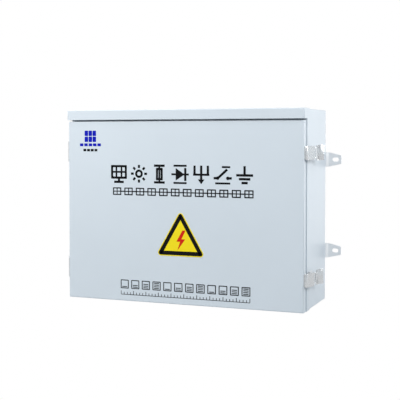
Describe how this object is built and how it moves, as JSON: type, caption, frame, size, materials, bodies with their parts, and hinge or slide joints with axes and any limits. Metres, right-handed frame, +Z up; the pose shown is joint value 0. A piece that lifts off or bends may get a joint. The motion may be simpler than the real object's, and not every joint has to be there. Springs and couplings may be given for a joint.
{
  "type": "dc combiner box",
  "caption": "Wall-mounted sheet-steel box with a hinged door, rain hood and toggle latches that joins fused solar strings into one breaker output.",
  "frame": {"origin": "centre of the rectangle of the four wall slots, on the wall plane", "axes": "+X to the right as seen from the front, +Y towards the wall so that the door faces -Y, +Z up"},
  "size_m": [0.73, 0.228, 0.5216],
  "materials": {
    "sheet_steel": "light grey fine-texture powder coat",
    "galvanised": "galvanised sheet",
    "stainless": "brushed stainless steel",
    "bright_fasteners": "bright zinc and stainless",
    "seal_rubber": "closed-cell foam and rubber",
    "label_film": "printed film",
    "grey_plastic": "moulded plastic",
    "gland_nylon": "glass-filled nylon",
    "dark_moulding": "dark moulded thermoset",
    "light_moulding": "light moulded plastic",
    "ceramic": "glazed ceramic tube with plated caps",
    "copper": "bare copper bar",
    "brass_bar": "brass",
    "red_resin": "moulded resin",
    "sensor_green": "circuit board with black sensor strip",
    "handle_moulding": "dark moulded handle",
    "module_plastic": "moulded plastic",
    "wire_insulation": "insulated wire with crimped copper lugs"
  },
  "bodies": {
    "root": {"body_shell": "sheet_steel", "front_frame": "sheet_steel", "rain_hood": "sheet_steel", "gland_plate": "galvanised", "gland_plate_seal": "seal_rubber", "gland_plate_screws": "bright_fasteners", "string_glands": "gland_nylon", "output_glands": "gland_nylon", "wall_lugs": "stainless", "lug_bolts": "bright_fasteners", "hinge_body_leaves": "stainless", "hinge_pins": "bright_fasteners", "hinge_body_screws": "bright_fasteners", "upper_latch_base": "stainless", "lower_latch_base": "stainless", "latch_base_rivets": "bright_fasteners", "mounting_plate": "galvanised", "plate_studs": "bright_fasteners", "din_rails": "galvanised", "wiring_duct": "grey_plastic", "fuse_bases": "dark_moulding", "busbars": "copper", "busbar_insulators": "red_resin", "terminal_bolts": "bright_fasteners", "current_sensor": "sensor_green", "breaker_case": "dark_moulding", "surge_base": "light_moulding", "monitor_unit": "light_moulding", "earth_bar": "brass_bar", "device_wires": "wire_insulation", "link_cables": "wire_insulation"},
    "door": {"door_panel": "sheet_steel", "door_stiffeners": "galvanised", "door_gasket": "seal_rubber", "hazard_label": "label_film", "drawing_pocket": "grey_plastic", "hinge_door_leaves": "stainless", "hinge_door_screws": "bright_fasteners", "latch_catches": "stainless", "latch_catch_rivets": "bright_fasteners"},
    "upper_latch_lever": {"upper_latch_lever": "stainless"},
    "upper_latch_bail": {"upper_latch_bail": "stainless"},
    "lower_latch_lever": {"lower_latch_lever": "stainless"},
    "lower_latch_bail": {"lower_latch_bail": "stainless"},
    "fuse_carrier_1": {"fuse_carrier_1": "light_moulding", "fuse_link_1": "ceramic"},
    "fuse_carrier_2": {"fuse_carrier_2": "light_moulding", "fuse_link_2": "ceramic"},
    "fuse_carrier_3": {"fuse_carrier_3": "light_moulding", "fuse_link_3": "ceramic"},
    "fuse_carrier_4": {"fuse_carrier_4": "light_moulding", "fuse_link_4": "ceramic"},
    "fuse_carrier_5": {"fuse_carrier_5": "light_moulding", "fuse_link_5": "ceramic"},
    "fuse_carrier_6": {"fuse_carrier_6": "light_moulding", "fuse_link_6": "ceramic"},
    "breaker_handle": {"breaker_handle": "handle_moulding"},
    "surge_module_1": {"surge_module_1": "module_plastic"},
    "surge_module_2": {"surge_module_2": "module_plastic"},
    "surge_module_3": {"surge_module_3": "module_plastic"}
  },
  "joints": [
    {"name": "door_hinge", "type": "hinge", "parent": "root", "child": "door", "pos_m": [-0.331, -0.201, -0.01475], "axis": [0, 0, -1], "range_deg": [0, 120]},
    {"name": "upper_lever_pivot", "type": "hinge", "parent": "root", "child": "upper_latch_lever", "pos_m": [0.334, -0.182, 0.14025], "axis": [0, 0, -1], "range_deg": [0, 100]},
    {"name": "upper_bail_pivot", "type": "hinge", "parent": "upper_latch_lever", "child": "upper_latch_bail", "pos_m": [0.333, -0.17, 0.14025], "axis": [0, 0, 1], "range_deg": [0, 120]},
    {"name": "lower_lever_pivot", "type": "hinge", "parent": "root", "child": "lower_latch_lever", "pos_m": [0.334, -0.182, -0.16975], "axis": [0, 0, -1], "range_deg": [0, 100]},
    {"name": "lower_bail_pivot", "type": "hinge", "parent": "lower_latch_lever", "child": "lower_latch_bail", "pos_m": [0.333, -0.17, -0.16975], "axis": [0, 0, 1], "range_deg": [0, 120]},
    {"name": "fuse_carrier_1_swing", "type": "hinge", "parent": "root", "child": "fuse_carrier_1", "pos_m": [-0.246, -0.082, -0.122], "axis": [1, 0, 0], "range_deg": [0, 80]},
    {"name": "fuse_carrier_2_swing", "type": "hinge", "parent": "root", "child": "fuse_carrier_2", "pos_m": [-0.228, -0.082, -0.122], "axis": [1, 0, 0], "range_deg": [0, 80]},
    {"name": "fuse_carrier_3_swing", "type": "hinge", "parent": "root", "child": "fuse_carrier_3", "pos_m": [-0.21, -0.082, -0.122], "axis": [1, 0, 0], "range_deg": [0, 80]},
    {"name": "fuse_carrier_4_swing", "type": "hinge", "parent": "root", "child": "fuse_carrier_4", "pos_m": [-0.192, -0.082, -0.122], "axis": [1, 0, 0], "range_deg": [0, 80]},
    {"name": "fuse_carrier_5_swing", "type": "hinge", "parent": "root", "child": "fuse_carrier_5", "pos_m": [-0.174, -0.082, -0.122], "axis": [1, 0, 0], "range_deg": [0, 80]},
    {"name": "fuse_carrier_6_swing", "type": "hinge", "parent": "root", "child": "fuse_carrier_6", "pos_m": [-0.156, -0.082, -0.122], "axis": [1, 0, 0], "range_deg": [0, 80]},
    {"name": "breaker_toggle", "type": "hinge", "parent": "root", "child": "breaker_handle", "pos_m": [0.202, -0.09, 0.0405], "axis": [1, 0, 0], "range_deg": [0, 40]},
    {"name": "surge_module_1_slide", "type": "slide", "parent": "root", "child": "surge_module_1", "axis": [0, -1, 0], "range_m": [0, 0.04]},
    {"name": "surge_module_2_slide", "type": "slide", "parent": "root", "child": "surge_module_2", "axis": [0, -1, 0], "range_m": [0, 0.04]},
    {"name": "surge_module_3_slide", "type": "slide", "parent": "root", "child": "surge_module_3", "axis": [0, -1, 0], "range_m": [0, 0.04]}
  ],
  "couplings": [
    {"joint": "upper_bail_pivot", "follows": "upper_lever_pivot", "ratio": 1.2},
    {"joint": "lower_bail_pivot", "follows": "lower_lever_pivot", "ratio": 1.2}
  ]
}
